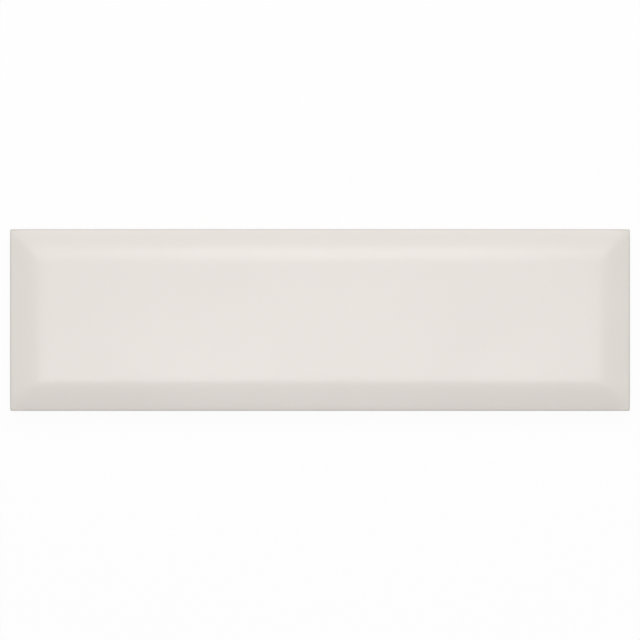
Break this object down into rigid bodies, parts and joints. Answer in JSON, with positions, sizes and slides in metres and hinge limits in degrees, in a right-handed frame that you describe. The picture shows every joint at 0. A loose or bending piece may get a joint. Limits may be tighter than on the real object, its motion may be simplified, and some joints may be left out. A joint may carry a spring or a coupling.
{
  "type": "wall tile",
  "caption": "Long rectangular bevelled wall tile with a flat raised panel, sloping glazed borders and a ribbed back that keys into adhesive.",
  "frame": {"origin": "centre of the back, on the plane of the ribs that the tile lies on", "axes": "+X along the long side, +Y along the short side, +Z out of the glazed face"},
  "size_m": [0.29, 0.085, 0.009],
  "materials": {
    "glaze": "gloss"
  },
  "bodies": {
    "root": {"wall_tile": "glaze"}
  },
  "joints": []
}
